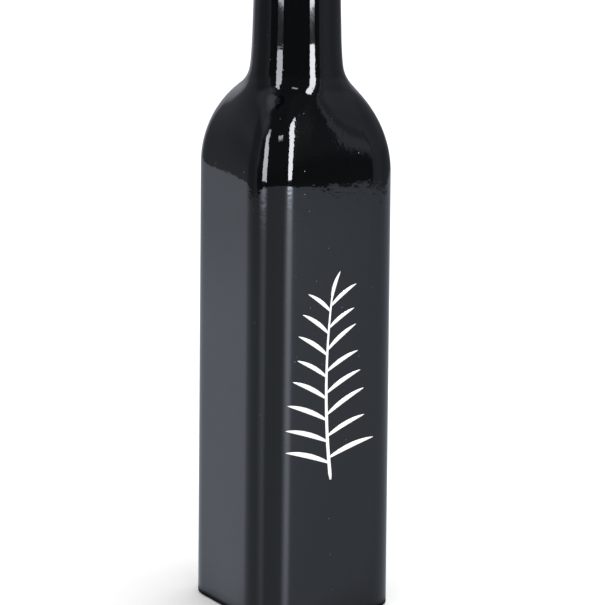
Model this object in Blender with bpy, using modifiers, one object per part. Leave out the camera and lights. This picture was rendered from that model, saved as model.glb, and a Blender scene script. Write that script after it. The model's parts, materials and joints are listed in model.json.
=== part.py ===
"""Square vinegar bottle of half a litre: square body with rounded corners, domed shoulder, round neck with
a rolled lip, closed by a bar-top stopper. Metres, +Z up, origin at the middle of the foot. The wide faces
look along X and Y."""

import math

import bmesh
import bpy

# Body
SIDE = 0.0600  # across two opposite faces
CORNER_RADIUS = 0.0131  # rounding of the four upright corners
SHOULDER_Z = 0.1699  # where the faces stop being upright

# Foot
HEEL_RADIUS = 0.0010  # rounding between the sides and the foot
FOOT_WIDTH = 0.0055  # flat ring that the bottle stands on
RECESS_DEPTH = 0.0015  # how far the middle of the foot stands clear
RECESS_SLOPE = 0.0020  # width of the slanted step into the recess

# Shoulder and neck, measured on the corners
DOME_RADIUS = 0.0406  # arc that leaves the upright corner
SHOULDER_ANGLE = math.radians(48.8)  # steepest lean of the shoulder from upright
FILLET_RADIUS = 0.0116  # tight arc that turns back up towards the neck
FLARE_ANGLE = math.radians(10)  # lean where the tight arc passes into the flare
FLARE_RADIUS = 0.0370  # softer arc of the flare
EASE_ANGLE = math.radians(4.4)  # lean where the flare passes into the last, nearly straight arc
EASE_RADIUS = 0.1900  # long arc that runs into the neck
NECK_RADIUS = 0.01688  # at the foot of the neck
NECK_TAPER = 0.027  # radius lost for each unit of height
ROUNDING_REACH = 0.0050  # this far out from the neck the section turns round without a kink

# Lip
LIP_TOP_Z = 0.2700
LIP_RADIUS = 0.0190
LIP_ROLL = 0.0040  # radius of the rolled edge

# Stopper
STOPPER_GAP = 0.0003  # clearance over the lip
STOPPER_RADIUS = 0.0170
STOPPER_HEIGHT = 0.0147
STOPPER_FOOT_CHAMFER = 0.0006
STOPPER_EDGE_RADIUS = 0.0025
STOPPER_CROWN = 0.0005  # rise of the top towards its middle
STOPPER_GROOVE_Z = 0.0030  # a turned line round the foot of the head
STOPPER_GROOVE = 0.0005

# How finely the curves are cut
CORNER_STEPS = 10
FACE_STEPS = 8
HEEL_STEPS = 3
DOME_STEPS = 12
FILLET_STEPS = 5
FLARE_STEPS = 2
EASE_STEPS = 2
NECK_STEPS = 3
LIP_STEPS = 8
STOPPER_EDGE_STEPS = 5
STOPPER_SIDES = 64

QUARTER_TURN = math.pi / 2


def clear_scene():
    for old in list(bpy.data.objects):
        bpy.data.objects.remove(old, do_unlink=True)


def make_material(name, colour, roughness, metallic=0.0):
    material = bpy.data.materials.new(name)
    material.use_nodes = True
    shader = material.node_tree.nodes["Principled BSDF"]
    shader.inputs["Base Color"].default_value = (*colour, 1.0)
    shader.inputs["Roughness"].default_value = roughness
    shader.inputs["Metallic"].default_value = metallic
    return material


def between(start, end, steps):
    """Points that divide the straight line from start to end into equal steps, both ends left out."""
    return [
        tuple(a + (b - a) * step / steps for a, b in zip(start, end))
        for step in range(1, steps)
    ]


def body_outline():
    """The body seen from above, anticlockwise: a square with rounded corners."""
    middle = SIDE / 2 - CORNER_RADIUS
    arcs = []
    for quarter in range(4):
        turn = quarter * QUARTER_TURN
        middle_x = middle * (math.cos(turn) - math.sin(turn))
        middle_y = middle * (math.sin(turn) + math.cos(turn))
        arc = []
        for step in range(CORNER_STEPS + 1):
            angle = turn + step / CORNER_STEPS * QUARTER_TURN
            arc.append(
                (
                    middle_x + CORNER_RADIUS * math.cos(angle),
                    middle_y + CORNER_RADIUS * math.sin(angle),
                )
            )
        arcs.append(arc)

    points = []
    for arc, next_arc in zip(arcs, arcs[1:] + arcs[:1]):
        points += arc
        points += between(arc[-1], next_arc[0], FACE_STEPS)
    return points


def square_ring(outline, z, inset=0.0):
    """The body's outline at a height, drawn in by inset on each side."""
    scale = 1 - inset / (SIDE / 2)
    return [(x * scale, y * scale, z) for x, y in outline]


def squareness(corner_reach, body_reach):
    """How square a section is whose corners reach so far: 1 on the body, and 0 on the neck, where it
    fades out softly."""
    beyond = corner_reach - NECK_RADIUS
    whole = body_reach - NECK_RADIUS - ROUNDING_REACH / 2
    if beyond < ROUNDING_REACH:
        return beyond**2 / (2 * ROUNDING_REACH) / whole
    return (beyond - ROUNDING_REACH / 2) / whole


def blended_ring(outline, z, corner_reach):
    """A section between the body and the neck: a circle as wide as its corners reach, drawn in on the
    faces by so much of the body's own flatness as the section is square."""
    body_reach = max(math.hypot(x, y) for x, y in outline)
    share = squareness(corner_reach, body_reach)
    ring = []
    for x, y in outline:
        flatness = body_reach - math.hypot(x, y)
        scale = (corner_reach - share * flatness) / math.hypot(x, y)
        ring.append((x * scale, y * scale, z))
    return ring


def round_ring(outline, z, radius):
    """A circle whose points lie in the same directions as the outline's."""
    return [(x * radius / math.hypot(x, y), y * radius / math.hypot(x, y), z) for x, y in outline]


def foot_rings(outline):
    inner_edge = HEEL_RADIUS + FOOT_WIDTH
    rings = [
        square_ring(outline, RECESS_DEPTH, inner_edge + RECESS_SLOPE),
        square_ring(outline, 0.0, inner_edge),
    ]
    for step in range(HEEL_STEPS + 1):
        angle = step / HEEL_STEPS * QUARTER_TURN
        rings.append(
            square_ring(
                outline,
                HEEL_RADIUS * (1 - math.cos(angle)),
                HEEL_RADIUS * (1 - math.sin(angle)),
            )
        )
    return rings


def arc_points(radius, start_angle, end_angle, steps):
    """Height gained and reach lost along an arc between two leans, after each of its steps."""
    points = []
    for step in range(1, steps + 1):
        angle = start_angle + (end_angle - start_angle) * step / steps
        rise = radius * abs(math.sin(angle) - math.sin(start_angle))
        loss = radius * abs(math.cos(angle) - math.cos(start_angle))
        points.append((rise, loss))
    return points


def shoulder_profile(reach):
    """Height and corner reach, from the top of the upright faces to the foot of the neck."""
    dome = arc_points(DOME_RADIUS, 0.0, SHOULDER_ANGLE, DOME_STEPS)
    fillet = arc_points(FILLET_RADIUS, SHOULDER_ANGLE, FLARE_ANGLE, FILLET_STEPS)
    flare = arc_points(FLARE_RADIUS, FLARE_ANGLE, EASE_ANGLE, FLARE_STEPS)
    ease = arc_points(EASE_RADIUS, EASE_ANGLE, math.atan(NECK_TAPER), EASE_STEPS)

    profile = [(SHOULDER_Z, reach)]
    profile += [(SHOULDER_Z + rise, reach - loss) for rise, loss in dome]
    dome_top_z, dome_top_reach = profile[-1]
    slope_top_reach = NECK_RADIUS + ease[-1][1] + flare[-1][1] + fillet[-1][1]
    slope_top_z = dome_top_z + (dome_top_reach - slope_top_reach) / math.tan(SHOULDER_ANGLE)
    profile.append((slope_top_z, slope_top_reach))
    for arc in (fillet, flare, ease):
        z, arc_reach = profile[-1]
        profile += [(z + rise, arc_reach - loss) for rise, loss in arc]
    return profile


def neck_rings(outline, start_z):
    """The tapering neck and its rolled lip."""
    roll_z = LIP_TOP_Z - LIP_ROLL
    roll_middle = LIP_RADIUS - LIP_ROLL
    neck_top_radius = NECK_RADIUS - NECK_TAPER * (roll_z - LIP_ROLL - start_z)
    first_angle = -math.acos((neck_top_radius - roll_middle) / LIP_ROLL)
    neck_top_z = roll_z + LIP_ROLL * math.sin(first_angle)
    rings = []
    for step in range(1, NECK_STEPS):
        part = step / NECK_STEPS
        z = start_z + (neck_top_z - start_z) * part
        radius = NECK_RADIUS + (neck_top_radius - NECK_RADIUS) * part
        rings.append(round_ring(outline, z, radius))
    for step in range(LIP_STEPS + 1):
        angle = first_angle + (QUARTER_TURN - first_angle) * step / LIP_STEPS
        z = roll_z + LIP_ROLL * math.sin(angle)
        rings.append(round_ring(outline, z, roll_middle + LIP_ROLL * math.cos(angle)))
    return rings


def loft(name, rings):
    """A closed solid through the rings, from the lowest to the highest, with both ends closed."""
    mesh = bpy.data.meshes.new(name)
    shape = bmesh.new()
    loops = [[shape.verts.new(point) for point in ring] for ring in rings]
    count = len(loops[0])
    for lower, upper in zip(loops, loops[1:]):
        for i in range(count):
            j = (i + 1) % count
            shape.faces.new((lower[i], lower[j], upper[j], upper[i]))
    for loop, flipped in ((loops[0], True), (loops[-1], False)):
        middle = shape.verts.new((0.0, 0.0, loop[0].co.z))
        for i in range(count):
            j = (i + 1) % count
            corners = (loop[j], loop[i], middle) if flipped else (loop[i], loop[j], middle)
            shape.faces.new(corners)
    shape.to_mesh(mesh)
    shape.free()
    return mesh


def add_object(collection, parent, mesh, material, location=(0.0, 0.0, 0.0)):
    mesh.materials.append(material)
    piece = bpy.data.objects.new(mesh.name, mesh)
    piece.location = location
    piece.parent = parent
    collection.objects.link(piece)
    return piece


def shade(mesh):
    mesh.shade_smooth()
    mesh.set_sharp_from_angle(angle=math.radians(35))


def make_bottle(collection, parent):
    outline = body_outline()
    profile = shoulder_profile(max(math.hypot(x, y) for x, y in outline))
    shoulder = [blended_ring(outline, z, corner_reach) for z, corner_reach in profile]
    neck_start_z = profile[-1][0]
    rings = foot_rings(outline) + shoulder + neck_rings(outline, neck_start_z)
    glaze = make_material("glaze", (0.010, 0.011, 0.014), 0.08)
    mesh = loft("bottle", rings)
    shade(mesh)
    return add_object(collection, parent, mesh, glaze)


def stopper_profile():
    """Half of the stopper's head as (radius, height) over its foot, from the top down to the foot."""
    edge_z = STOPPER_HEIGHT - STOPPER_CROWN - STOPPER_EDGE_RADIUS
    edge_middle = STOPPER_RADIUS - STOPPER_EDGE_RADIUS
    profile = [(0.0, STOPPER_HEIGHT), (edge_middle / 2, STOPPER_HEIGHT - STOPPER_CROWN / 4)]
    for step in range(STOPPER_EDGE_STEPS + 1):
        angle = QUARTER_TURN * (1 - step / STOPPER_EDGE_STEPS)
        profile.append(
            (
                edge_middle + STOPPER_EDGE_RADIUS * math.cos(angle),
                edge_z + STOPPER_EDGE_RADIUS * math.sin(angle),
            )
        )
    profile += [
        (STOPPER_RADIUS, STOPPER_GROOVE_Z + STOPPER_GROOVE),
        (STOPPER_RADIUS - STOPPER_GROOVE, STOPPER_GROOVE_Z),
        (STOPPER_RADIUS, STOPPER_GROOVE_Z - STOPPER_GROOVE),
        (STOPPER_RADIUS, STOPPER_FOOT_CHAMFER),
        (STOPPER_RADIUS - STOPPER_FOOT_CHAMFER, 0.0),
        (0.0, 0.0),
    ]
    return profile


def make_stopper(collection, parent):
    profile = stopper_profile()
    edges = [(i, i + 1) for i in range(len(profile) - 1)]
    mesh = bpy.data.meshes.new("stopper")
    mesh.from_pydata([(radius, 0.0, z) for radius, z in profile], edges, [])
    black = make_material("stopper_black", (0.020, 0.020, 0.021), 0.42)
    stopper = add_object(collection, parent, mesh, black, (0.0, 0.0, LIP_TOP_Z + STOPPER_GAP))
    turned = stopper.modifiers.new("turned", "SCREW")
    turned.steps = STOPPER_SIDES
    turned.render_steps = STOPPER_SIDES
    turned.use_merge_vertices = True
    turned.merge_threshold = 0.00001
    turned.use_smooth_shade = True
    return stopper


def main():
    clear_scene()
    collection = bpy.data.collections.new("vinegar_bottle")
    bpy.context.scene.collection.children.link(collection)
    base = bpy.data.objects.new("foot_middle", None)
    collection.objects.link(base)
    make_bottle(collection, base)
    make_stopper(collection, base)


main()
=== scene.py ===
# %% [markdown]
# # A black glazed vinegar bottle
# The bottle stands alone on a white floor. It is a square bottle with a round neck, closed by a stopper,
# and a white sprig is printed on one of its faces. The frame gives the bottle and the stopper as plain
# solids. This lesson models both again as smooth meshes of the same size, adds the print, and gives each
# piece its finish. The last cells set up the camera, the floor, the lights and the room.

# %% Load the frame
import json
import math
import random

import bmesh
import bpy
from mathutils import Matrix, Vector

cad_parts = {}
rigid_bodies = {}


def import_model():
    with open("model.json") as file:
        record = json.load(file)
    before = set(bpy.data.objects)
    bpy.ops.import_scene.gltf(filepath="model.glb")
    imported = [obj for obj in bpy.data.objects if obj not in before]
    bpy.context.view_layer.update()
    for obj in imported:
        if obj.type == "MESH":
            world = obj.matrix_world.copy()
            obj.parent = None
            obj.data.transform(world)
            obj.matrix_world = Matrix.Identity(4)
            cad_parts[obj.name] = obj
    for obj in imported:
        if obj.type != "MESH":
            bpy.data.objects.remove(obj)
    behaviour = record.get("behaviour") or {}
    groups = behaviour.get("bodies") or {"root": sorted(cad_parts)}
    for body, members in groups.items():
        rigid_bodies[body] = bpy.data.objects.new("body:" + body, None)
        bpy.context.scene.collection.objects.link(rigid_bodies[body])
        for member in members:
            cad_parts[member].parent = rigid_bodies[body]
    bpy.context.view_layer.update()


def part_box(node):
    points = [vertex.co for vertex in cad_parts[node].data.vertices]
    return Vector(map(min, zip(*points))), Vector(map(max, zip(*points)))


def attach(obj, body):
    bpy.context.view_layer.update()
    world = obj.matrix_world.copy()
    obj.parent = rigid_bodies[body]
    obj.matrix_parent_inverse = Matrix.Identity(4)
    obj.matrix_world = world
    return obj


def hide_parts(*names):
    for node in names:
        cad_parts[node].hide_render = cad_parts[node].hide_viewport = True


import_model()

# %% [markdown]
# ## Sizes
# The frame already holds the real bottle, so its outer sizes are read from there. What a box can't give,
# such as the rounding of the corners or the sweep of the shoulder, is named here in metres.

# %% Sizes of the bottle and the stopper
bottle_low, bottle_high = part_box("bottle")
stopper_low, stopper_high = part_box("stopper")
SIDE = bottle_high[0] - bottle_low[0]
LIP_TOP_Z = bottle_high[2]

CORNER_RADIUS = 0.0131
SHOULDER_Z = 0.1699
DOME_RADIUS = 0.0406
SHOULDER_ANGLE = math.radians(48.8)
FILLET_RADIUS = 0.0116
FLARE_ANGLE = math.radians(10)
FLARE_RADIUS = 0.0370
EASE_ANGLE = math.radians(4.4)
EASE_RADIUS = 0.1900
NECK_RADIUS = 0.01688
NECK_TAPER = 0.027
ROUNDING_REACH = 0.0050
LIP_RADIUS = 0.0190
LIP_ROLL = 0.0040
HEEL_RADIUS = 0.0010
FOOT_WIDTH = 0.0055
RECESS_DEPTH = 0.0015
RECESS_SLOPE = 0.0020
CLOSE = 0.001  # a point this close to a height counts as being at it
LEVEL_NORMAL = 0.9  # a face whose normal points up or down by more than this counts as level
print(f"side {SIDE:.4f}, lip {LIP_TOP_Z:.4f}, stopper from {stopper_low[2]:.4f} to {stopper_high[2]:.4f}")

# %% [markdown]
# ## Working by hand, in code
# Every piece below starts as one of Blender's primitives and is shaped in edit mode. Four small helpers
# stand in for the mouse. One opens a new primitive with nothing selected. One picks vertices, edges or
# faces by where they are. One leaves edit mode with the place kept in the mesh, and one applies a modifier.

# %% Helpers for edit mode
def start(name):
    """The primitive that was just added, named and opened in edit mode with nothing selected."""
    piece = bpy.context.object
    piece.name = piece.data.name = name
    bpy.ops.object.transform_apply(location=True, rotation=True, scale=True)
    bpy.ops.object.mode_set(mode="EDIT")
    bpy.ops.mesh.select_all(action="DESELECT")
    return piece


def pick(piece, kind, wanted):
    """Selects only the elements for which wanted(middle, element) is true, and returns how many."""
    bpy.ops.mesh.select_mode(type=kind)
    bpy.ops.mesh.select_all(action="DESELECT")
    cage = bmesh.from_edit_mesh(piece.data)
    elements = {"VERT": cage.verts, "EDGE": cage.edges, "FACE": cage.faces}[kind]
    count = 0
    for element in elements:
        corners = [element.co] if kind == "VERT" else [v.co for v in element.verts]
        middle = sum(corners, Vector()) / len(corners)
        if wanted(middle, element):
            element.select_set(True)
            count += 1
    cage.select_flush_mode()
    bmesh.update_edit_mesh(piece.data)
    return count


def settle(piece):
    """Leaves edit mode and puts the piece's place into its mesh."""
    bpy.ops.object.mode_set(mode="OBJECT")
    bpy.ops.object.select_all(action="DESELECT")
    piece.select_set(True)
    bpy.context.view_layer.objects.active = piece
    bpy.ops.object.transform_apply(location=True, rotation=True, scale=True)
    return piece


def apply_modifier(piece, kind, **settings):
    """Adds a modifier to the piece and applies it."""
    modifier = piece.modifiers.new(kind.lower(), kind)
    for name, value in settings.items():
        setattr(modifier, name, value)
    bpy.context.view_layer.objects.active = piece
    bpy.ops.object.modifier_apply(modifier=modifier.name)


bpy.ops.object.select_all(action="DESELECT")
print("nothing is selected, so the first primitive starts clean")

# %% [markdown]
# ## The body: a box with rounded corners
# The body was cast in a mould with four flat faces and four generous round corners. A bevel with many
# segments turns each upright edge of a box into exactly such a quarter circle. The faces are then divided
# too, because the shoulder above them has to turn into a circle, and a circle needs points all round.

# %% Round the upright edges of a box
CORNER_SEGMENTS = 24
FACE_CUTS = 19

bpy.ops.mesh.primitive_cube_add(size=1, location=(0, 0, 0))
bottle = start("glazed_bottle")
bpy.ops.mesh.select_all(action="SELECT")
bpy.ops.transform.resize(value=(SIDE, SIDE, SHOULDER_Z - HEEL_RADIUS), center_override=(0, 0, 0))
bpy.ops.transform.translate(value=(0, 0, (SHOULDER_Z + HEEL_RADIUS) / 2))


def is_upright(middle, edge):
    """Whether an edge rises more than it runs."""
    rise = edge.verts[1].co - edge.verts[0].co
    return abs(rise.z) > abs(rise.x) + abs(rise.y)


def is_wide(middle, edge):
    """Whether an edge runs along one of the wide faces."""
    return not is_upright(middle, edge) and edge.calc_length() > SIDE / 2


pick(bottle, "EDGE", is_upright)
bpy.ops.mesh.bevel(offset=CORNER_RADIUS, segments=CORNER_SEGMENTS, profile=0.5, affect="EDGES")
pick(bottle, "EDGE", is_wide)
bpy.ops.mesh.subdivide(number_cuts=FACE_CUTS)
print("points round the body:", pick(bottle, "VERT", lambda middle, v: middle.z > SHOULDER_Z - CLOSE))

# %% [markdown]
# ## The shoulder: from square to round
# The shoulder is a loft: below it is the square, above it the circle of the neck. By hand it is grown ring
# by ring from the top face, each ring with three moves. Extrude up, scale in, and To Sphere, which pushes
# the points part of the way to a circle. How far to go follows from the profile of a corner: a long arc
# out of the upright, a short straight lean, a tight arc back up, and two softer ones that end in the neck.

# %% Grow a ring
def grow(z, rise, scale=1.0, rounding=0.0):
    """Extrudes the selected end face from height z, and returns its new height."""
    bpy.ops.mesh.extrude_region_move(TRANSFORM_OT_translate={"value": (0, 0, rise)})
    middle = (0, 0, z + rise)
    if scale != 1.0:
        bpy.ops.transform.resize(value=(scale, scale, 1), center_override=middle)
    if rounding > 0:
        bpy.ops.transform.tosphere(value=min(rounding, 1.0), center_override=middle)
    return z + rise


ring = [v.co.xy.length for v in bmesh.from_edit_mesh(bottle.data).verts if v.co.z > SHOULDER_Z - CLOSE]
CORNER_REACH = max(ring)
MEAN_REACH = sum(ring) / len(ring)
print(f"corner reach {CORNER_REACH:.4f}, mean reach {MEAN_REACH:.4f}")

# %% Work out the profile of a corner
DOME_RINGS, FILLET_RINGS, FLARE_RINGS, EASE_RINGS = 34, 16, 8, 10


def arc(radius, lean_below, lean_above, rings):
    """Height gained and reach lost along an arc between two leans, at each of its rings."""
    points = []
    for ring_number in range(1, rings + 1):
        lean = lean_below + (lean_above - lean_below) * ring_number / rings
        rise = radius * abs(math.sin(lean) - math.sin(lean_below))
        loss = radius * abs(math.cos(lean) - math.cos(lean_below))
        points.append((rise, loss))
    return points


dome = arc(DOME_RADIUS, 0.0, SHOULDER_ANGLE, DOME_RINGS)
fillet = arc(FILLET_RADIUS, SHOULDER_ANGLE, FLARE_ANGLE, FILLET_RINGS)
flare = arc(FLARE_RADIUS, FLARE_ANGLE, EASE_ANGLE, FLARE_RINGS)
ease = arc(EASE_RADIUS, EASE_ANGLE, math.atan(NECK_TAPER), EASE_RINGS)

profile = [(SHOULDER_Z + rise, CORNER_REACH - loss) for rise, loss in dome]
dome_top_z, dome_top_reach = profile[-1]
slope_top_reach = NECK_RADIUS + fillet[-1][1] + flare[-1][1] + ease[-1][1]
slope_top_z = dome_top_z + (dome_top_reach - slope_top_reach) / math.tan(SHOULDER_ANGLE)
profile.append((slope_top_z, slope_top_reach))
for curve in (fillet, flare, ease):
    z, reach = profile[-1]
    profile += [(z + rise, reach - loss) for rise, loss in curve]
NECK_FOOT_Z = profile[-1][0]
print(f"{len(profile)} rings, the neck starts at {NECK_FOOT_Z:.4f}")

# %% Grow the shoulder
def squareness(reach):
    """1 on the body and 0 on the neck, where it fades out softly."""
    beyond = max(reach - NECK_RADIUS, 0.0)
    whole = CORNER_REACH - NECK_RADIUS - ROUNDING_REACH / 2
    if beyond < ROUNDING_REACH:
        return beyond * beyond / (2 * ROUNDING_REACH) / whole
    return (beyond - ROUNDING_REACH / 2) / whole


pick(bottle, "FACE", lambda middle, face: face.normal.z > LEVEL_NORMAL)
z, square, mean = SHOULDER_Z, 1.0, MEAN_REACH
for next_z, reach in profile:
    next_square = squareness(reach)
    next_mean = reach - next_square * (CORNER_REACH - MEAN_REACH)
    scale = next_mean / mean
    z = grow(z, next_z - z, scale, 1 - next_square / (square * scale))
    square, mean = next_square, next_mean
print(f"shoulder grown to {z:.4f}, radius {mean:.4f}")

# %% [markdown]
# ## Neck and lip
# The neck is round and draws in a little on its way up. At the top the edge is rolled over into a lip,
# which stops the pour cleanly. Both are more rings of the same kind, now only moved and scaled.

# %% Grow the neck and the rolled lip
NECK_RINGS = 24
LIP_RINGS = 20

roll_z = LIP_TOP_Z - LIP_ROLL
roll_middle = LIP_RADIUS - LIP_ROLL
neck_top_radius = NECK_RADIUS - NECK_TAPER * (roll_z - LIP_ROLL - NECK_FOOT_Z)
first_angle = -math.acos((neck_top_radius - roll_middle) / LIP_ROLL)
neck_top_z = roll_z + LIP_ROLL * math.sin(first_angle)

rings = []
for step in range(1, NECK_RINGS + 1):
    part = step / NECK_RINGS
    next_z = NECK_FOOT_Z + (neck_top_z - NECK_FOOT_Z) * part
    rings.append((next_z, NECK_RADIUS + (neck_top_radius - NECK_RADIUS) * part))
for step in range(1, LIP_RINGS + 1):
    angle = first_angle + (math.pi / 2 - first_angle) * step / LIP_RINGS
    rings.append((roll_z + LIP_ROLL * math.sin(angle), roll_middle + LIP_ROLL * math.cos(angle)))
radius = mean
for next_z, next_radius in rings:
    z = grow(z, next_z - z, next_radius / radius)
    radius = next_radius
print(f"lip closed at {z:.4f}")

# %% [markdown]
# ## Foot
# The heel is rounded off, because a sharp edge would chip. The bottle stands on a flat ring round a shallow
# recess, so that it can't rock. Both are grown downwards from the bottom face in the same way.

# %% Round the heel and set back the recess
HEEL_RINGS = 6

pick(bottle, "FACE", lambda middle, face: face.normal.z < -LEVEL_NORMAL)
z, inset = HEEL_RADIUS, 0.0
steps = []
for step in range(1, HEEL_RINGS + 1):
    angle = step / HEEL_RINGS * math.pi / 2
    steps.append((HEEL_RADIUS * (1 - math.sin(angle)), HEEL_RADIUS * (1 - math.cos(angle))))
steps.append((0.0, HEEL_RADIUS + FOOT_WIDTH))
steps.append((RECESS_DEPTH, HEEL_RADIUS + FOOT_WIDTH + RECESS_SLOPE))
for next_z, next_inset in steps:
    z = grow(z, next_z - z, (SIDE / 2 - next_inset) / (SIDE / 2 - inset))
    inset = next_inset
print(f"recess at {z:.4f}")

# %% Divide the tall faces and finish the bottle
BODY_CUTS = 84
BOTTLE_SMOOTHING = math.radians(40)


def is_tall(middle, edge):
    """Whether an edge runs up the whole body."""
    return is_upright(middle, edge) and edge.calc_length() > SHOULDER_Z / 2


tall = pick(bottle, "EDGE", is_tall)
bpy.ops.mesh.subdivide(number_cuts=BODY_CUTS)
settle(bottle)
bpy.ops.object.shade_smooth_by_angle(angle=BOTTLE_SMOOTHING)
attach(bottle, "root")
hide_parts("bottle")
print(f"{tall} tall edges divided, {len(bottle.data.polygons)} faces in all")

# %% [markdown]
# ## Stopper
# A bar-top stopper is a turned head on a shank that grips inside the neck. Only the head shows. It has a
# small chamfer at its foot, a turned line above that, fine upright grip flutes, a rounded top edge and a
# slight crown. It grows from a flat circle, ring by ring. The first rings are the top of the shank, which
# closes the hair's breadth between the head and the lip.

# %% Turn the stopper's head
HEAD_RADIUS = (stopper_high[0] - stopper_low[0]) / 2
HEAD_HEIGHT = stopper_high[2] - stopper_low[2]
HEAD_SIDES = 240
SHANK_RADIUS = 0.0135
SHANK_SHOWS = stopper_low[2] - LIP_TOP_Z
FOOT_CHAMFER = 0.0006
LINE_Z = 0.0030
LINE_DEPTH = 0.0005
CROWN = 0.0005
EDGE_RADIUS = 0.0025
EDGE_RINGS = 10
EDGE_Z = HEAD_HEIGHT - CROWN - EDGE_RADIUS
CROWN_RINGS = (0.85, 0.6, 0.3, 0.05)  # shares of the crown's radius
PLAIN_BAND = 0.0002  # between the flutes and the rounded edge
FLUTE_RUN_OUT = 0.0003
FLUTES_FROM_Z = 0.0041
FLUTES_TO_Z = EDGE_Z - PLAIN_BAND

turned = [
    (0.0, SHANK_RADIUS),
    (0.0, HEAD_RADIUS - FOOT_CHAMFER),
    (FOOT_CHAMFER, HEAD_RADIUS),
    (LINE_Z - LINE_DEPTH, HEAD_RADIUS),
    (LINE_Z, HEAD_RADIUS - LINE_DEPTH),
    (LINE_Z + LINE_DEPTH, HEAD_RADIUS),
    (FLUTES_FROM_Z, HEAD_RADIUS),
    (FLUTES_FROM_Z + FLUTE_RUN_OUT, HEAD_RADIUS),
    (FLUTES_TO_Z - FLUTE_RUN_OUT, HEAD_RADIUS),
    (FLUTES_TO_Z, HEAD_RADIUS),
]
for step in range(EDGE_RINGS + 1):
    angle = step / EDGE_RINGS * math.pi / 2
    edge_reach = HEAD_RADIUS - EDGE_RADIUS + EDGE_RADIUS * math.cos(angle)
    turned.append((EDGE_Z + EDGE_RADIUS * math.sin(angle), edge_reach))
for part in CROWN_RINGS:
    turned.append((HEAD_HEIGHT - CROWN * part * part, (HEAD_RADIUS - EDGE_RADIUS) * part))

z, radius = stopper_low[2] - SHANK_SHOWS, SHANK_RADIUS
bpy.ops.mesh.primitive_circle_add(vertices=HEAD_SIDES, radius=radius, fill_type="NGON", location=(0, 0, z))
stopper = start("stopper_head")
pick(stopper, "FACE", lambda middle, face: True)
for height, next_radius in turned:
    z = grow(z, stopper_low[2] + height - z, next_radius / radius)
    radius = next_radius
print(f"head turned to {z:.4f}, from a circle of {HEAD_SIDES} sides")

# %% Sink the grip flutes
FLUTE_DEPTH = 0.00030
FLUTE_SIDES = 4  # the first half of them is sunk
STOPPER_SMOOTHING = math.radians(30)


def in_a_flute(middle, vertex):
    """Whether a point of the head's wall lies in a flute."""
    height = middle.z - stopper_low[2]
    side = round(math.atan2(middle.y, middle.x) / (2 * math.pi) * HEAD_SIDES)
    on_the_wall = FLUTES_FROM_Z + FLUTE_RUN_OUT / 2 < height < FLUTES_TO_Z - FLUTE_RUN_OUT / 2
    return on_the_wall and side % FLUTE_SIDES < FLUTE_SIDES // 2


sunk = pick(stopper, "VERT", in_a_flute)
scale = 1 - FLUTE_DEPTH / HEAD_RADIUS
bpy.ops.transform.resize(value=(scale, scale, 1), center_override=(0, 0, stopper_low[2]))
bpy.ops.mesh.select_all(action="SELECT")
bpy.ops.mesh.normals_make_consistent(inside=False)
settle(stopper)
bpy.ops.object.shade_smooth_by_angle(angle=STOPPER_SMOOTHING)
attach(stopper, "root")
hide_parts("stopper")
print(f"{sunk} points sunk for {HEAD_SIDES // FLUTE_SIDES} flutes")

# %% [markdown]
# ## The printed sprig
# The print is white enamel, screened onto the glaze and fired, so it stands proud by a tenth of a
# millimetre. One leaf is modelled: a small circle is grown ring by ring into a slim spindle, which is
# pressed flat and bent. The rest are copies, turned and scaled along a stem that is made the same way, in
# pairs that get shorter towards the tip. A seeded random number keeps them from being too even.

# %% Draw out one leaf
LEAF_LENGTH = 0.0200
LEAF_WIDTH = 0.0020
LEAF_BEND = math.radians(20)
LEAF_SHAPE = [
    (0.05, 0.45), (0.14, 0.68), (0.27, 0.88), (0.42, 1.0), (0.57, 0.98),
    (0.71, 0.84), (0.83, 0.62), (0.92, 0.38), (0.98, 0.17), (1.0, 0.04),
]
PRINT_THICKNESS = 0.00030  # half of it lies in the glaze
BLADE_SIDES = 12
BLADE_START = 0.6  # width of the first circle, as a share of the first ring's


def blade(name, length, width, shape):
    """A flat blade up from the origin. Its shape is a list of (height, width) as shares of the whole."""
    z, radius = 0.0, width / 2 * shape[0][1] * BLADE_START
    bpy.ops.mesh.primitive_circle_add(
        vertices=BLADE_SIDES, radius=radius, fill_type="NGON", location=(0, 0, z)
    )
    piece = start(name)
    pick(piece, "FACE", lambda middle, face: True)
    for height, breadth in shape:
        z = grow(z, height * length - z, breadth * width / 2 / radius)
        radius = breadth * width / 2
    bpy.ops.mesh.select_all(action="SELECT")
    bpy.ops.transform.resize(value=(1, PRINT_THICKNESS / width, 1), center_override=(0, 0, 0))
    return settle(piece)


leaf = blade("leaf", LEAF_LENGTH, LEAF_WIDTH, LEAF_SHAPE)
apply_modifier(leaf, "SIMPLE_DEFORM", deform_method="BEND", deform_axis="Y", angle=LEAF_BEND)
print("leaf spans", [round(v, 4) for v in leaf.dimensions])

# %% Bend the stem
SPRIG_MIDDLE = Vector((0.0, -SIDE / 2, 0.0945))
STEM_LENGTH = 0.073
STEM_WIDTH = 0.0015
STEM_DROP = 0.0400  # from the sprig's middle down to its foot
STEM_BEND = math.radians(14)
STEM_TILT = math.radians(-7)
STEM_RINGS = 30
STEM_TAPER = 0.55
STEM_SHAPE = [(step / STEM_RINGS, 1.0 - STEM_TAPER * step / STEM_RINGS) for step in range(1, STEM_RINGS + 1)]

stem = blade("stem", STEM_LENGTH, STEM_WIDTH, STEM_SHAPE)
apply_modifier(stem, "SIMPLE_DEFORM", deform_method="BEND", deform_axis="Y", angle=STEM_BEND)
stem.rotation_euler.y = STEM_TILT
stem.location = SPRIG_MIDDLE - Vector((0, 0, STEM_DROP))
bpy.context.view_layer.update()
spine = [stem.matrix_world @ v.co for v in stem.data.vertices]
spine_low, spine_high = min(point.z for point in spine), max(point.z for point in spine)


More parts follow.
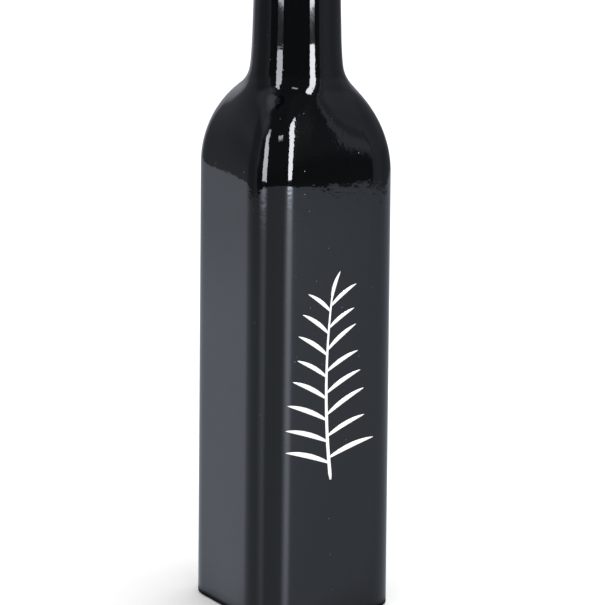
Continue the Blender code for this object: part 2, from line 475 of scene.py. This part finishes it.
def on_the_stem(part):
    """The middle of the stem, part of the way from its foot to its tip."""
    level = spine_low + (spine_high - spine_low) * part
    near = [point for point in spine if abs(point.z - level) < STEM_LENGTH / STEM_RINGS]
    return Vector((sum(point.x for point in near) / len(near), -SIDE / 2, level))


print("stem leans from", round(on_the_stem(0.0).x, 4), "to", round(on_the_stem(1.0).x, 4))

# %% Set the leaves along the stem
SEED = 5
LEAF_PAIRS = 8
BARE_FOOT, BARE_TIP, STAGGER = 0.9, 0.6, 0.12  # in steps from one pair to the next
FOOT_LENGTH, LENGTH_LOSS, LENGTH_SPREAD = 1.02, 0.42, 0.06  # shares of the leaf that was drawn out
FOOT_LEAN, LEAN_LOSS, LEAN_SPREAD = 62, 24, 4  # degrees away from upright
TIP_LEAF = {"part": 0.97, "side": 1, "lean": 4, "length": 0.55, "width": 0.8}

chance = random.Random(SEED)
sprig_pieces = [stem]


def add_leaf(part, side, lean, length, width):
    """A copy of the leaf, set part of the way up the stem on one side: 1 for the right, -1 for the left."""
    piece = bpy.data.objects.new("leaf", leaf.data.copy())
    bpy.context.scene.collection.objects.link(piece)
    piece.scale = (side * width, 1, length)
    piece.rotation_euler.y = side * math.radians(lean)
    piece.location = on_the_stem(part)
    sprig_pieces.append(piece)


for pair in range(LEAF_PAIRS):
    for side in (-1, 1):
        part = (pair + BARE_FOOT + side * STAGGER) / (LEAF_PAIRS + BARE_TIP)
        length = (FOOT_LENGTH - LENGTH_LOSS * part) * chance.uniform(1 - LENGTH_SPREAD, 1 + LENGTH_SPREAD)
        lean = FOOT_LEAN - LEAN_LOSS * part + chance.uniform(-LEAN_SPREAD, LEAN_SPREAD)
        add_leaf(part, side, lean, length, math.sqrt(length))
add_leaf(**TIP_LEAF)
bpy.data.objects.remove(leaf)
print(f"{len(sprig_pieces)} pieces of print")

# %% Join the sprig
bpy.ops.object.select_all(action="DESELECT")
for piece in sprig_pieces:
    piece.select_set(True)
bpy.context.view_layer.objects.active = stem
bpy.ops.object.join()
sprig = start("printed_sprig")
bpy.ops.mesh.select_all(action="SELECT")
bpy.ops.mesh.normals_make_consistent(inside=False)
settle(sprig)
sprig.data.shade_smooth()
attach(sprig, "root")
sprig_low = [min(v.co[axis] for v in sprig.data.vertices) for axis in range(3)]
sprig_high = [max(v.co[axis] for v in sprig.data.vertices) for axis in range(3)]
print("sprig from", [round(v, 4) for v in sprig_low], "to", [round(v, 4) for v in sprig_high])

# %% [markdown]
# ## Writing finishes as sums
# A finish is worked out from a few patterns: a noise for the skin of the glaze, spots for its pinholes. Two
# small classes keep that readable. Signal wraps a number that varies over the surface, so that
# 1 - mask * 0.5 adds its Math nodes by itself. Nodes adds any other node in one call.

# %% Signals and nodes
class Signal:
    """A socket that Python's operators can work on. Each operation adds one Math node."""

    def __init__(self, nodes, socket):
        self.nodes, self.socket = nodes, socket

    def maths(self, operation, *values):
        inputs = dict(enumerate((self, *values)))
        return self.nodes.add("ShaderNodeMath", {"operation": operation}, inputs)

    def __add__(self, other):
        return self.maths("ADD", other)

    def __sub__(self, other):
        return self.maths("SUBTRACT", other)

    def __rsub__(self, other):
        return (self * -1) + other

    def __mul__(self, other):
        return self.maths("MULTIPLY", other)

    __radd__, __rmul__ = __add__, __mul__

    def ramp(self, *stops):
        """A grey ramp through (place, value) stops."""
        return self.nodes.add("ShaderNodeValToRGB", {"stops": stops}, {0: self})

    def fade(self, start, end):
        """1 up to start, 0 from end, and smooth between them."""
        inputs = {"Value": self, "From Min": start, "From Max": end, "To Min": 1.0, "To Max": 0.0}
        return self.nodes.add("ShaderNodeMapRange", {"interpolation_type": "SMOOTHSTEP"}, inputs)


class Nodes:
    """The nodes of one material, or of the world."""

    def __init__(self, owner):
        owner.use_nodes = True
        self.tree = owner.node_tree
        self.tree.nodes.clear()

    def plug(self, value, socket):
        if isinstance(value, Signal):
            self.tree.links.new(value.socket, socket)
        else:
            socket.default_value = value

    def add(self, kind, settings=None, inputs=None, output=0):
        """Adds a node: first its settings, or a ramp's stops, then the values or links of its sockets."""
        node = self.tree.nodes.new(kind)
        for name, value in (settings or {}).items():
            if name == "stops":
                self.set_stops(node.color_ramp.elements, value)
            else:
                setattr(node, name, value)
        for name, value in (inputs or {}).items():
            self.plug(value, node.inputs[name])
        return Signal(self, node.outputs[output]) if node.outputs else None

    @staticmethod
    def set_stops(elements, stops):
        while len(elements) < len(stops):
            elements.new(0.5)
        for element, (place, grey) in zip(elements, stops):
            element.position = place
            element.color = (grey, grey, grey, 1)

    def place(self):
        """Where a point is on its piece, in metres."""
        return self.add("ShaderNodeTexCoord", output="Object")

    def part(self, place, axis):
        """One of the three numbers of a place: 0 for X, 1 for Y, 2 for Z."""
        return self.add("ShaderNodeSeparateXYZ", inputs={0: place}, output=axis)

    def vector(self, operation, *values, output="Vector"):
        """A Vector Math node."""
        return self.add("ShaderNodeVectorMath", {"operation": operation}, dict(enumerate(values)), output)

    def noise(self, place, per_metre, detail):
        """A soft noise between 0 and 1, with so many waves to a metre."""
        return self.add("ShaderNodeTexNoise", inputs={"Vector": place, "Scale": per_metre, "Detail": detail})

    def spots(self, place, spacing, radius):
        """Round spots, 1 in their middle, that are thinly and unevenly scattered."""
        inputs = {"Vector": place, "Scale": 1 / spacing, "Randomness": 1.0}
        return self.add("ShaderNodeTexVoronoi", inputs=inputs, output="Distance").fade(0.0, radius / spacing)

    def mix(self, factor, first, second):
        """A colour between two colours."""
        return self.add("ShaderNodeMix", {"data_type": "RGBA"}, {0: factor, 6: first, 7: second}, output=2)

    def relief(self, height):
        """The normal that a height in metres gives."""
        return self.add("ShaderNodeBump", inputs={"Height": height, "Distance": 1.0, "Strength": 1.0})

    def finish(self, **inputs):
        """The Principled shader with these inputs, as the material's surface."""
        names = {name.replace("_", " "): value for name, value in inputs.items()}
        shader = self.add("ShaderNodeBsdfPrincipled", inputs=names)
        self.add("ShaderNodeOutputMaterial", inputs={"Surface": shader})

    def emit(self, colour, strength):
        """A plain glow, as the material's surface."""
        glow = self.add("ShaderNodeEmission", inputs={"Color": (*colour, 1), "Strength": strength})
        self.add("ShaderNodeOutputMaterial", inputs={"Surface": glow})


def dress(piece, material):
    """Gives a piece its one material."""
    piece.data.materials.clear()
    piece.data.materials.append(material)


print("a finish can now be written as a sum")

# %% [markdown]
# ## Black glaze
# A fired glaze is glass: smooth and hard, and here so dark that almost all that the eye sees of it is what
# it mirrors. So the colour hardly matters, and the relief matters most. The glaze flowed while it was hot,
# which left it faintly wavy, and the edges of every reflection run a little ragged. It pooled on the upper
# shoulder, so there the ripples are deeper than on the faces, and it is thinnest on the neck. Finer than
# that is the orange peel. One run of glaze, a few hundredths of a millimetre thick, hangs at the foot of the
# neck on the side of the print. A few bubbles burst and left pinholes, and a little kiln dust is fired in.

# %% Glaze the bottle
FLOW_WAVES, RIPPLE_WAVES, PEEL_WAVES, CLOUD_WAVES = 38, 290, 850, 60  # to a metre
FLOW_HEIGHT, RIPPLE_HEIGHT, PEEL_HEIGHT = 0.000050, 0.000023, 0.000009
PINHOLE_SPACING, PINHOLE_RADIUS, PINHOLE_DEPTH = 0.0120, 0.00045, 0.00014
DUST_SPACING, DUST_RADIUS, DUST_HEIGHT = 0.0050, 0.00030, 0.00004
GLASS_IOR = 1.5
GLAZE_SPAN = 0.25  # the height that is 1 in the next line, whose stops are (height, depth)
POOLING = [(0.64, 0.40), (0.72, 0.70), (0.80, 0.90), (0.86, 0.75), (0.89, 0.30), (0.93, 0.06)]
DEEPEST_POOL = 2  # times the depth of the ripples
RUN_THICKNESS = 0.000042
RUN_FOOT, RUN_TOP = (0.2040, 0.2160), (0.2178, 0.2222)  # the heights between which it swells, then thins
RUN_SIDES = (0.75, 0.95)  # how far forward it swells, in shares of the neck's radius


def black_glaze():
    material = bpy.data.materials.new("black_glaze")
    nodes = Nodes(material)
    place = nodes.place()
    level = nodes.part(place, 2)
    thickness = (level * (1 / GLAZE_SPAN)).ramp(*POOLING) * DEEPEST_POOL
    flow = nodes.noise(place, FLOW_WAVES, 1.0)
    ripple = nodes.noise(place, RIPPLE_WAVES, 2.0)
    peel = nodes.noise(place, PEEL_WAVES, 1.0)
    skin = flow * FLOW_HEIGHT + ripple * thickness * RIPPLE_HEIGHT + peel * thickness * PEEL_HEIGHT
    in_front = 1 - (nodes.part(place, 1) * (-1 / NECK_RADIUS)).fade(*RUN_SIDES)
    run = in_front * (level.fade(*RUN_TOP) * (1 - level.fade(*RUN_FOOT)))
    pinholes = nodes.spots(place, PINHOLE_SPACING, PINHOLE_RADIUS)
    dust = nodes.spots(place, DUST_SPACING, DUST_RADIUS)
    height = skin + run * RUN_THICKNESS + dust * DUST_HEIGHT - pinholes * PINHOLE_DEPTH
    cloud = nodes.noise(place, CLOUD_WAVES, 3.0)
    black = nodes.mix(cloud, (0.0003, 0.0004, 0.0006, 1), (0.0008, 0.0010, 0.0014, 1))
    nodes.finish(
        Base_Color=nodes.mix(dust, black, (0.10, 0.104, 0.11, 1)),
        Roughness=cloud * 0.02 + dust * 0.25 + pinholes * 0.1 + 0.025,
        Normal=nodes.relief(height),
        IOR=GLASS_IOR,
    )
    return material


dress(bottle, black_glaze())
print("bottle glazed")

# %% [markdown]
# ## White enamel
# The enamel of the print is denser and duller than the glaze, and not quite even where the screen laid it
# down. A fine noise takes its white down a little here and there and roughens it.

# %% Fire the print
ENAMEL_GRAIN_WAVES, ENAMEL_PATCH_WAVES = 1400, 150  # to a metre
ENAMEL_GRAIN_HEIGHT = 0.000004


def print_white():
    material = bpy.data.materials.new("print_white")
    nodes = Nodes(material)
    place = nodes.place()
    grain = nodes.noise(place, ENAMEL_GRAIN_WAVES, 2.0)
    patches = nodes.noise(place, ENAMEL_PATCH_WAVES, 2.0)
    nodes.finish(
        Base_Color=nodes.mix(patches, (0.80, 0.81, 0.82, 1), (0.90, 0.90, 0.90, 1)),
        Roughness=grain * 0.2 + 0.28,
        Normal=nodes.relief(grain * ENAMEL_GRAIN_HEIGHT),
        IOR=GLASS_IOR,
    )
    return material


dress(sprig, print_white())
print("print fired")

# %% [markdown]
# ## Stopper plastic
# The head is moulded in black plastic. The mould was lightly etched, which gives a satin skin with a fine
# grain, and handling has polished it a little in places.

# %% Finish the stopper
PLASTIC_GRAIN_WAVES, HANDLING_WAVES = 2200, 90  # to a metre
PLASTIC_GRAIN_HEIGHT = 0.000006
PLASTIC_IOR = 1.5


def stopper_black():
    material = bpy.data.materials.new("stopper_black")
    nodes = Nodes(material)
    place = nodes.place()
    grain = nodes.noise(place, PLASTIC_GRAIN_WAVES, 2.0)
    handling = nodes.noise(place, HANDLING_WAVES, 3.0)
    nodes.finish(
        Base_Color=nodes.mix(handling, (0.010, 0.010, 0.011, 1), (0.022, 0.022, 0.023, 1)),
        Roughness=handling * 0.16 + grain * 0.08 + 0.30,
        Normal=nodes.relief(grain * PLASTIC_GRAIN_HEIGHT),
        IOR=PLASTIC_IOR,
    )
    return material


dress(stopper, stopper_black())
print("stopper finished")

# %% [markdown]
# ## Camera
# A long lens from a few metres away keeps the uprights nearly parallel. It looks down on the bottle from
# one side, so that two faces and the corner between them show.

# %% Set up the camera
FRAME_PIXELS = 605
FOCAL_PIXELS = 9000
SENSOR = 36.0
CAMERA_AZIMUTH = math.radians(-28.51)
CAMERA_PITCH = math.radians(15)
CAMERA_ROLL = math.radians(0.539)
CAMERA_DISTANCE = 3.4219
CAMERA_SEES = 20
AIM_Z = 0.11675
AIM_RIGHT = 0.003076

right = Vector((math.cos(CAMERA_AZIMUTH), math.sin(CAMERA_AZIMUTH), 0))
level_back = Vector((math.sin(CAMERA_AZIMUTH), -math.cos(CAMERA_AZIMUTH), 0))
back = level_back * math.cos(CAMERA_PITCH) + Vector((0, 0, math.sin(CAMERA_PITCH)))
up = back.cross(right)
aim = Vector((0, 0, AIM_Z)) + right * AIM_RIGHT
camera = bpy.data.objects.new("camera", bpy.data.cameras.new("camera"))
bpy.context.scene.collection.objects.link(camera)
camera.data.sensor_width = SENSOR
camera.data.lens = FOCAL_PIXELS * SENSOR / FRAME_PIXELS
camera.data.clip_end = CAMERA_SEES
stance = Matrix((right, up, back)).transposed().to_4x4() @ Matrix.Rotation(CAMERA_ROLL, 4, "Z")
camera.matrix_world = Matrix.Translation(aim + back * CAMERA_DISTANCE) @ stance
bpy.context.scene.camera = camera
print(f"lens {camera.data.lens:.0f} mm at {CAMERA_DISTANCE} m")

# %% [markdown]
# ## Floor
# The floor is a plain matt white. A black mirror shows the whole room, so the floor that the eye sees and
# the floor that the glaze mirrors are two things here: a wide white plane that reflections don't see, and a
# glowing table top that only reflections see. The table top ends 65 to 100 cm away, and past it the room is
# dark. It glows more where it leads to the strip lights, and hardly at all right at the bottle's foot, where
# the shadow of the foot is painted into its glow.

# %% White floor
FLOOR_SIZE = 12
FLOOR_WHITE = (0.9, 0.9, 0.9, 1)

bpy.ops.mesh.primitive_plane_add(size=1, location=(0, 0, 0))
floor = bpy.context.object
floor.name = "floor"
floor.scale = (FLOOR_SIZE, FLOOR_SIZE, 1)
floor.visible_glossy = False
white = bpy.data.materials.new("floor_white")
nodes = Nodes(white)
shader = nodes.add("ShaderNodeBsdfDiffuse", inputs={"Color": FLOOR_WHITE})
nodes.add("ShaderNodeOutputMaterial", inputs={"Surface": shader})
floor.data.materials.append(white)
print("floor laid")

# %% Directions in the room
def unseen_card(piece, name):
    """A card that only reflections see."""
    piece.name = name
    piece.visible_camera = piece.visible_diffuse = piece.visible_shadow = False
    piece.visible_transmission = piece.visible_volume_scatter = False
    return piece


def direction(azimuth):
    """A level direction, at an azimuth from the camera's, in degrees, positive to the camera's right."""
    angle = CAMERA_AZIMUTH + math.radians(azimuth)
    return Vector((math.sin(angle), -math.cos(angle), 0))


def azimuth_of(nodes, place):
    """The same azimuth of a place or direction, as 0 to 1 for -180 to 180 degrees."""
    ahead = nodes.vector("DOT_PRODUCT", place, level_back, output="Value")
    aside = nodes.vector("DOT_PRODUCT", place, right, output="Value")
    return aside.maths("ARCTAN2", ahead) * (0.5 / math.pi) + 0.5


def part_of_turn(degrees):
    """An azimuth in degrees as 0 to 1."""
    return degrees / 360 + 0.5


def round_the_room(turn, *stops):
    """A ramp over the azimuth, through (degrees, value) stops."""
    return turn.ramp(*[(part_of_turn(degrees), value) for degrees, value in stops])


print("camera side is", [round(v, 3) for v in direction(0)])

# %% Edge of the table top
# The rounded corner nearest the camera mirrors the room as if from one point a little behind it, so the
# directions on the table top are counted round the floor under that point.
CORNER_FOCUS = Vector((-0.0207, -0.0236, 0))
TABLE_SIDES = 180
TABLE_CLEARANCE = 0.0004  # over the floor
EDGE_OF_THE_TABLE = [
    (-180, 0.904), (-150, 0.864), (-138, 0.844), (-124, 0.769), (-121, 0.754), (-114, 0.704),
    (-108, 0.673), (-100, 0.662), (-78, 0.666), (-63, 0.674), (-56, 0.709), (-41, 0.804),
    (-25, 0.904), (-11, 0.984), (12, 0.962), (34, 0.859), (50, 0.794), (55, 0.765),
    (58, 0.694), (60, 0.684), (117, 0.686), (140, 0.724), (180, 0.904),
]


def table_reach(degrees):
    """How far the table top reaches at an azimuth."""
    for (before, near), (after, far) in zip(EDGE_OF_THE_TABLE, EDGE_OF_THE_TABLE[1:]):
        if degrees <= after:
            return near + (far - near) * (degrees - before) / (after - before)
    return EDGE_OF_THE_TABLE[-1][1]


bpy.ops.mesh.primitive_circle_add(
    vertices=TABLE_SIDES, radius=1, fill_type="NGON", location=(0, 0, TABLE_CLEARANCE)
)
table_top = unseen_card(bpy.context.object, "table_top")
for vertex in table_top.data.vertices:
    degrees = -180 + 360 / TABLE_SIDES * vertex.index
    vertex.co = CORNER_FOCUS + direction(degrees) * table_reach(degrees)
print("table top reaches", round(table_reach(0), 3), "m towards the camera")

# %% Sheen on the table top
TABLE_TINT = (0.89, 0.985, 1.125)
PAINTED_SHADOW_REACH = 0.04  # how far the bottle's foot shades the table top
GLARE_SKEW = 0.010  # turns to the right for each metre
GLARE_STRENGTH = 10

sheen = bpy.data.materials.new("table_sheen")
nodes = Nodes(sheen)
place = nodes.vector("SUBTRACT", nodes.place(), CORNER_FOCUS)
turn = azimuth_of(nodes, place)
reach = nodes.vector("LENGTH", place, output="Value")

flat_half = SIDE / 2 - CORNER_RADIUS
outside = nodes.vector("SUBTRACT", nodes.vector("ABSOLUTE", nodes.place()), (flat_half, flat_half, 0))
outside = nodes.vector("MAXIMUM", outside, (0, 0, 0))
clear_of_foot = nodes.vector("LENGTH", outside, output="Value") - CORNER_RADIUS
# painted shadow: the table top's glow is darkened close round the bottle's foot, so the glaze mirrors a
# shadow there
painted_foot_shadow = (clear_of_foot * (1 / PAINTED_SHADOW_REACH)).ramp(
    (0.0, 0.02), (0.04, 0.15), (0.09, 0.65), (0.2, 0.92), (0.5, 0.98), (1.0, 1.0)
)

base = round_the_room(
    turn, (-180, 0.7), (-160, 0.65), (-148, 0.68), (-136, 0.80), (-126, 0.91), (-120, 0.88),
    (-113, 0.72), (-104, 0.62), (-92, 0.53), (-80, 0.50), (-60, 0.55), (-30, 0.56), (0, 0.57),
    (16, 0.60), (40, 0.64), (54, 0.76), (60, 0.82), (72, 0.81), (84, 0.72), (96, 0.64),
    (108, 0.58), (130, 0.54), (150, 0.55), (180, 0.7),
)
far_left = round_the_room(turn, (-180, 1.0), (-75, 1.0), (-40, 0.3), (160, 0.3), (180, 1.0))
dimmed = reach.ramp((0.45, 0.0), (0.50, 0.04), (0.55, 0.10), (0.60, 0.15), (0.70, 0.18)) * far_left

skew = turn - reach * GLARE_SKEW
right_glare = round_the_room(
    skew, (18, 0.0), (22, 0.08), (26, 0.25), (30, 0.55), (34, 0.85), (37, 1.0), (43, 0.97),
    (46, 0.78), (50, 0.40), (54, 0.10), (58, 0.02), (61, 0.0),
)
right_core = round_the_room(skew, (29, 0.0), (32, 0.5), (35, 1.0), (45, 1.0), (48, 0.5), (51, 0.0))
left_glare = round_the_room(
    turn, (-64, 0.0), (-58, 0.25), (-52, 0.65), (-48, 0.95), (-45, 1.0), (-42, 0.9), (-38, 0.55),
    (-34, 0.15), (-31, 0.0),
)
right_growth = reach.ramp(
    (0.0, 0.15), (0.15, 0.20), (0.45, 0.23), (0.57, 0.27), (0.60, 0.25), (0.63, 0.18), (0.66, 0.13)
)
core_growth = reach.ramp((0.57, 0.0), (0.60, 0.03), (0.63, 0.13), (0.66, 0.40), (0.70, 0.90))
left_growth = reach.ramp(
    (0.0, 0.03), (0.2, 0.05), (0.4, 0.061), (0.57, 0.064), (0.60, 0.075), (0.63, 0.14), (0.66, 0.30)
)
glare = right_glare * right_growth + right_core * core_growth + left_glare * left_growth
strength = base * (1 - dimmed) + glare * GLARE_STRENGTH
# the glow is multiplied by the painted shadow round the foot
nodes.emit(TABLE_TINT, strength * painted_foot_shadow)
dress(table_top, sheen)
print("sheen laid on", table_top.name)

# %% [markdown]
# ## Lights
# Two tall strip lights stand left and right of the camera. They draw the white lines down the neck and the
# shoulder. Neither is a plain oblong: the right one widens to the left high up, and the left one leans out.
# The table's edge hides the foot of each strip but for a dim rest, so each card has a dim foot. A small lamp
# over the camera leaves the two short glints.

# %% Strip lights
LIGHT_COLUMNS = 8
LIMIT_BLUR = 0.0004
STRIP_DISTANCE = 0.90
LAMP_DISTANCE = 1.20


def height_ramp(height, stops):
    """A strength that follows (height, strength) stops."""
    low, high = stops[0][0], stops[-1][0]
    brightest = max(strength for level, strength in stops)
    part = height * (1 / (high - low)) - low / (high - low)
    shares = [((level - low) / (high - low), strength / brightest) for level, strength in stops]
    return part.ramp(*shares) * brightest


def light_card(name, distance, outline, tint, glow, dim_foot=None):
    """A glowing card bent round the bottle. Its outline is a list of (height, left side, right side), with
    the sides as azimuths. Its glow is a list of (height, strength) stops, and so is its dim foot, which
    ends at the height where the card turns bright."""
    last = len(outline) - 1
    bpy.ops.mesh.primitive_grid_add(x_subdivisions=LIGHT_COLUMNS, y_subdivisions=last, size=1)
    piece = unseen_card(bpy.context.object, name)
    for vertex in piece.data.vertices:
        level, left_side, right_side = outline[round((vertex.co.y + 0.5) * last)]
        azimuth = left_side + (right_side - left_side) * (vertex.co.x + 0.5)
        vertex.co = direction(azimuth) * distance + Vector((0, 0, level))
    material = bpy.data.materials.new(name)
    nodes = Nodes(material)
    height = nodes.part(nodes.place(), 2)
    strength = height_ramp(height, glow)
    if dim_foot:
        limit = dim_foot[-1][0]
        dim = height.fade(limit - LIMIT_BLUR, limit + LIMIT_BLUR)
        strength = strength * (1 - dim) + height_ramp(height, dim_foot) * dim
    nodes.emit(tint, strength)
    dress(piece, material)


left_outline = [
    (0.00, -50.2, -35.0), (0.25, -49.4, -35.2), (0.40, -49.6, -35.6), (0.50, -50.6, -36.4),
    (0.60, -52.0, -37.6), (0.68, -52.6, -39.6), (0.72, -53.0, -43.6), (0.80, -55.6, -44.0),
    (0.90, -53.4, -43.6), (1.00, -51.6, -44.0), (1.10, -50.0, -45.5),
]
left_foot = [(0.0, 0.08), (0.045, 0.12), (0.056, 0.38), (0.0777, 0.38)]
left_glow = [(0.0, 10.0), (0.45, 11.0), (0.75, 11.5), (0.94, 9.0), (1.06, 5.5), (1.10, 2.0)]
right_outline = [
    (0.00, 34.3, 46.0), (0.15, 33.4, 46.4), (0.40, 32.8, 47.2), (0.52, 33.2, 46.8),
    (0.65, 32.8, 46.0), (0.75, 31.6, 45.0), (0.85, 29.6, 44.0), (1.00, 28.4, 43.2),
    (1.12, 29.0, 43.0), (1.20, 33.0, 42.4), (1.25, 38.0, 41.6),
]
right_foot = [(0.0, 0.12), (0.040, 0.2), (0.056, 0.52), (0.0746, 0.55)]
right_glow = [(0.0, 20.0), (1.10, 19.0), (1.25, 12.0)]
lamp_outline = [(1.06, -9.1, 7.1), (1.27, -9.1, 7.1)]
lamp_glow = [(1.06, 1.6), (1.11, 2.6), (1.14, 7.0), (1.24, 8.0), (1.27, 3.0)]
light_card("left_strip", STRIP_DISTANCE, left_outline, (0.98, 0.98, 1.05), left_glow, left_foot)
light_card("right_strip", STRIP_DISTANCE, right_outline, (0.97, 1.0, 1.04), right_glow, right_foot)
light_card("small_lamp", LAMP_DISTANCE, lamp_outline, (1, 1, 1), lamp_glow)
print("three cards of light")

# %% [markdown]
# ## The room
# The white light of the room comes from everywhere, but reflections see a darker room: dark towards the
# camera, grey to the sides, and light behind. It is told as four rounds of directions, one level, one at
# half height, one high and one overhead, and each blends into the next. A wall on the right begins with a
# sharp edge, sharper than a ramp can tell, so the two middle rounds have a ramp on either side of it. The
# left side straight overhead is darkened once more. The white light is stronger from the right, so the
# bottle's soft shadow lies to its left.

# %% Directions of the world
world = bpy.data.worlds.new("studio")
bpy.context.scene.world = world
nodes = Nodes(world)
place = nodes.add("ShaderNodeTexCoord", output="Generated")
turn = azimuth_of(nodes, place)
height = nodes.part(place, 2)  # 0 for level, 1 for straight up
print("the room is told by azimuth and height")

# %% Level and half height
WALL_EDGE = (58.3, 58.9)

before_wall = turn.fade(*map(part_of_turn, WALL_EDGE))
level_room = round_the_room(
    turn, (-180, 0.50), (-152, 0.55), (-147, 0.45), (-141, 0.20), (-125, 0.23), (-108, 0.16),
    (-86, 0.19), (-80, 0.27), (-75, 0.31), (-73, 0.42), (-71, 0.08), (0, 0.08), (54, 0.08),
    (60, 0.11), (62, 0.45), (64, 0.32), (76, 0.38), (88, 0.33), (103, 0.22), (121, 0.17),
    (150, 0.14), (157, 0.25), (166, 0.38), (180, 0.50),
)
front_half = round_the_room(
    turn, (-180, 0.90), (-146, 0.95), (-141, 0.85), (-137, 0.30), (-120, 0.28), (-113, 0.29),
    (-104, 0.21), (-95, 0.20), (-86, 0.22), (-77, 0.28), (-72, 0.40), (-68, 0.42), (-66, 0.12),
    (0, 0.11), (44, 0.12), (47, 0.32), (50, 0.25), (53, 0.15),
)
side_half = round_the_room(
    turn, (58, 0.62), (62, 0.58), (63.5, 0.33), (65.5, 0.33), (68, 0.47), (76, 0.42), (94, 0.34),
    (112, 0.27), (139, 0.24), (150, 0.21), (157, 0.38), (180, 0.60),
)
half_room = nodes.mix(before_wall, side_half, front_half)
print("two rounds told")

# %% High and overhead
OVERHEAD_EDGE = (0.905, 0.930)

front_high = round_the_room(
    turn, (-180, 0.9), (-130, 0.45), (-113, 0.41), (-104, 0.46), (-95, 0.50), (-86, 0.47),
    (-77, 0.64), (-71, 0.64), (-66, 0.50), (-61, 0.46), (-58, 0.11), (0, 0.11), (44, 0.12),
    (47, 0.22), (53, 0.14),
)
side_high = round_the_room(
    turn, (58, 0.58), (62, 0.52), (64, 0.32), (66, 0.34), (69, 0.44), (76, 0.54), (94, 0.45),
    (121, 0.38), (180, 0.9),
)
high_room = nodes.mix(before_wall, side_high, front_high)
top_room = round_the_room(
    turn, (-180, 1.2), (-104, 1.1), (-95, 1.0), (-84, 0.9), (-79, 0.4), (-75, 0.14), (-59, 0.12),
    (0, 0.11), (20, 0.15), (61, 0.14), (67, 0.34), (76, 0.52), (94, 0.50), (125, 0.42), (180, 1.1),
)
dark_side = round_the_room(turn, (-135, 0.0), (-115, 0.70), (-60, 0.70), (-50, 0.0))
top_room = top_room * (1 - dark_side * (1 - height.fade(*OVERHEAD_EDGE)))
print("four rounds told")

# %% Light the room
BLENDS = [(0.0, 0.15, half_room), (0.50, 0.65, high_room), (0.74, 0.85, top_room)]
ROOM_TINT = (0.94, 0.975, 1.09, 1)
BACKDROP = (1.4, 1.4, 1.4, 1)

mirrored = level_room
for low, high, room in BLENDS:
    mirrored = nodes.mix(height.ramp((low, 0.0), (high, 1.0)), mirrored, room)
multiply = {"data_type": "RGBA", "blend_type": "MULTIPLY"}
tinted = nodes.add("ShaderNodeMix", multiply, {0: 1.0, 6: mirrored, 7: ROOM_TINT}, output=2)
daylight = round_the_room(turn, (-180, 1.4), (-90, 0.8), (0, 1.4), (90, 2.0), (180, 1.4))
seen = nodes.add("ShaderNodeLightPath", output="Is Camera Ray")
reflected = nodes.add("ShaderNodeLightPath", output="Is Glossy Ray")
colour = nodes.mix(reflected, nodes.mix(seen, daylight, BACKDROP), tinted)
sky = nodes.add("ShaderNodeBackground", inputs={"Color": colour, "Strength": 1.0})
nodes.add("ShaderNodeOutputWorld", inputs={"Surface": sky})
bpy.context.scene.view_settings.view_transform = "Standard"
print("room lit")
